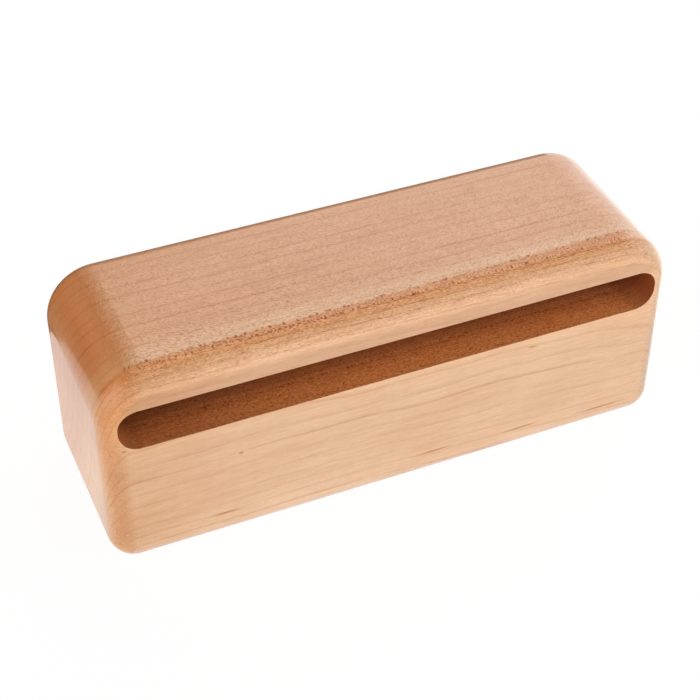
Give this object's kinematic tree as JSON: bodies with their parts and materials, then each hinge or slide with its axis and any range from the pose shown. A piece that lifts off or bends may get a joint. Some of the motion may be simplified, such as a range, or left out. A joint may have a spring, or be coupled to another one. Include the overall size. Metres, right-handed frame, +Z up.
{
  "type": "wood block",
  "caption": "Slotted hardwood percussion block: a long bar of maple with rounded edges, large-radius upper ends and a milled resonance slot under its sounding plate.",
  "frame": {"origin": "middle of the footprint, on the surface that the block lies on", "axes": "+X along the block, -Y out of the slotted front, +Z up through the struck face"},
  "size_m": [0.18, 0.0616, 0.0686],
  "materials": {
    "lacquered_maple": "satin clear lacquer over close-grained maple"
  },
  "bodies": {
    "root": {"sounding_block": "lacquered_maple"}
  },
  "joints": []
}
